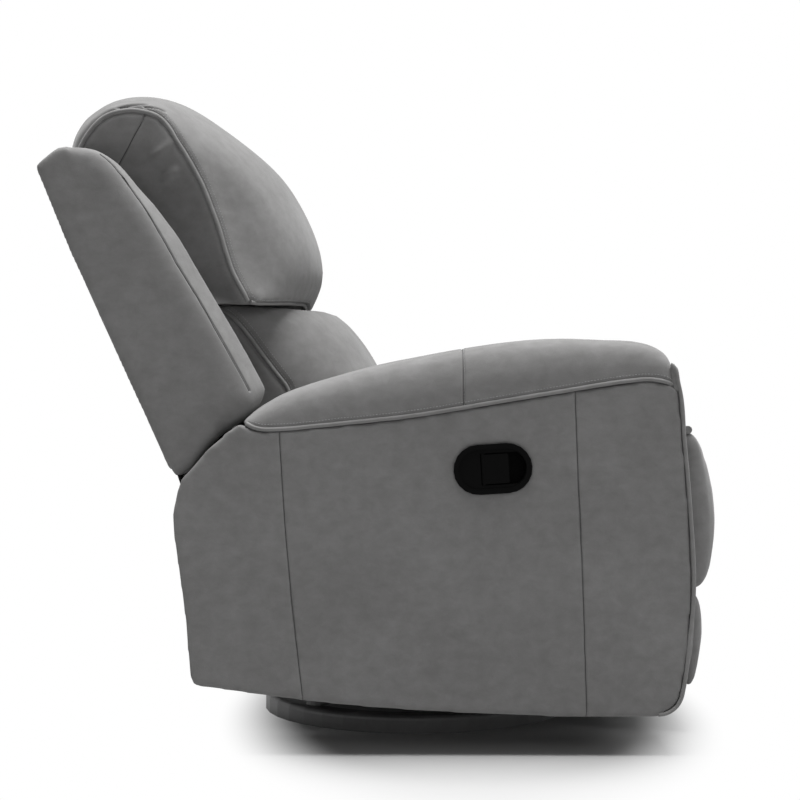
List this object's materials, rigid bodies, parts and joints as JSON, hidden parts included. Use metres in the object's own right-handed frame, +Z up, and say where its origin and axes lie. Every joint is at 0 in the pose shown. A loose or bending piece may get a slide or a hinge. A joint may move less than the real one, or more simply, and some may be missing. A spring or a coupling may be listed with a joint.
{
  "type": "swivel rocker recliner",
  "caption": "Padded armchair on a round floor ring that swivels, rocks, reclines at the back and lifts a folding footrest, with an oval pull handle in the arm.",
  "frame": {"origin": "middle of the footprint box at floor level; the swivel axis stands 40 mm before it", "axes": "+Z up, -Y the way the sitter faces, -X the sitter's right, where the pull handle is"},
  "size_m": [0.8633, 1.0768, 1.046],
  "materials": {
    "suede": "grey micro-suede upholstery with a soft mottle",
    "grey_paint": "grey satin paint",
    "zinc_steel": "zinc plated",
    "black_steel": "black paint on steel",
    "pine": "plain planed pine and plywood",
    "black_plastic": "moulded black plastic"
  },
  "bodies": {
    "base": {"base_ring": "grey_paint", "base_crossbars": "grey_paint", "swivel_lower_plate": "zinc_steel", "swivel_bearing": "black_steel"},
    "swivel": {"swivel_upper_plate": "zinc_steel", "rocker_cradle": "black_steel", "rocker_shaft": "zinc_steel", "rocker_spring_front_left": "black_steel", "rocker_spring_front_right": "black_steel", "rocker_spring_rear_left": "black_steel", "rocker_spring_rear_right": "black_steel"},
    "frame": {"rocker_bridge": "black_steel", "cross_tube_front": "black_steel", "cross_tube_rear": "black_steel", "side_plate_left": "black_steel", "side_plate_right": "black_steel", "seat_rail_left": "pine", "seat_rail_right": "pine", "seat_rail_front": "pine", "seat_rail_rear": "pine", "seat_spring_deck": "black_steel", "seat_cushion": "suede", "rear_panel": "suede", "arm_outer_panel_left": "suede", "arm_outer_panel_right": "suede", "arm_inner_panel_left": "suede", "arm_inner_panel_right": "suede", "arm_front_panel_left": "suede", "arm_front_panel_right": "suede", "arm_pad_left": "suede", "arm_pad_right": "suede", "handle_cup": "black_plastic", "release_cable": "black_plastic"},
    "paddle": {"handle_paddle": "black_plastic"},
    "back": {"back_bracket_left": "black_steel", "back_bracket_right": "black_steel", "back_post_left": "pine", "back_post_right": "pine", "back_rail_top": "pine", "back_rail_bottom": "pine", "wing_left": "suede", "wing_right": "suede", "back_panel": "suede", "headrest_pillow": "suede", "lumbar_cushion": "suede"},
    "drive_links": {"drive_link_left": "black_steel", "drive_link_right": "black_steel", "torque_tube": "black_steel"},
    "cross_links": {"cross_link_left": "black_steel", "cross_link_right": "black_steel"},
    "control_links": {"control_link_left": "black_steel", "control_link_right": "black_steel"},
    "toe_links": {"toe_link_left": "black_steel", "toe_link_right": "black_steel"},
    "footrest": {"footrest_bracket_left": "black_steel", "footrest_bracket_right": "black_steel", "footrest_board": "pine", "footrest_pad_upper": "suede", "footrest_pad_lower": "suede"}
  },
  "joints": [
    {"name": "swivel", "type": "hinge", "parent": "base", "child": "swivel", "pos_m": [0, -0.04, 0], "axis": [0, 0, 1], "continuous": true},
    {"name": "rock", "type": "hinge", "parent": "swivel", "child": "frame", "pos_m": [0, -0.04, 0.105], "axis": [-1, 0, 0], "range_deg": [-4, 12], "stiffness_Nm_per_rad": 1600, "deforming": ["rocker_spring_front_left", "rocker_spring_front_right", "rocker_spring_rear_left", "rocker_spring_rear_right"]},
    {"name": "recline", "type": "hinge", "parent": "frame", "child": "back", "pos_m": [0, 0.24, 0.4], "axis": [-1, 0, 0], "range_deg": [0, 38]},
    {"name": "footrest", "type": "hinge", "parent": "frame", "child": "drive_links", "pos_m": [0, -0.342, 0.312], "axis": [-1, 0, 0], "range_deg": [0, 75]},
    {"name": "cross_link_turn", "type": "hinge", "parent": "drive_links", "child": "cross_links", "pos_m": [0, -0.33921, 0.15202], "axis": [-1, 0, 0], "range_deg": [-116, 1]},
    {"name": "footrest_turn", "type": "hinge", "parent": "cross_links", "child": "footrest", "pos_m": [0, -0.43758, 0.31574], "axis": [-1, 0, 0], "range_deg": [-1, 121]},
    {"name": "control_link_turn", "type": "hinge", "parent": "frame", "child": "control_links", "pos_m": [0, -0.2706, 0.2773], "axis": [-1, 0, 0], "range_deg": [-1, 70]},
    {"name": "toe_link_turn", "type": "hinge", "parent": "drive_links", "child": "toe_links", "pos_m": [0, -0.33806, 0.08603], "axis": [-1, 0, 0], "range_deg": [-118, 1]},
    {"name": "handle_pull", "type": "hinge", "parent": "frame", "child": "paddle", "pos_m": [-0.428, -0.13903, 0.43065], "axis": [0, -0.061, -0.9981], "range_deg": [0, 35], "stiffness_Nm_per_rad": 0.4}
  ],
  "couplings": [
    {"joint": "cross_link_turn", "follows": "footrest", "ratio": -1.54},
    {"joint": "footrest_turn", "follows": "footrest", "ratio": 1.6067},
    {"joint": "control_link_turn", "follows": "footrest", "ratio": 0.91813},
    {"joint": "toe_link_turn", "follows": "footrest", "ratio": -1.5601}
  ]
}
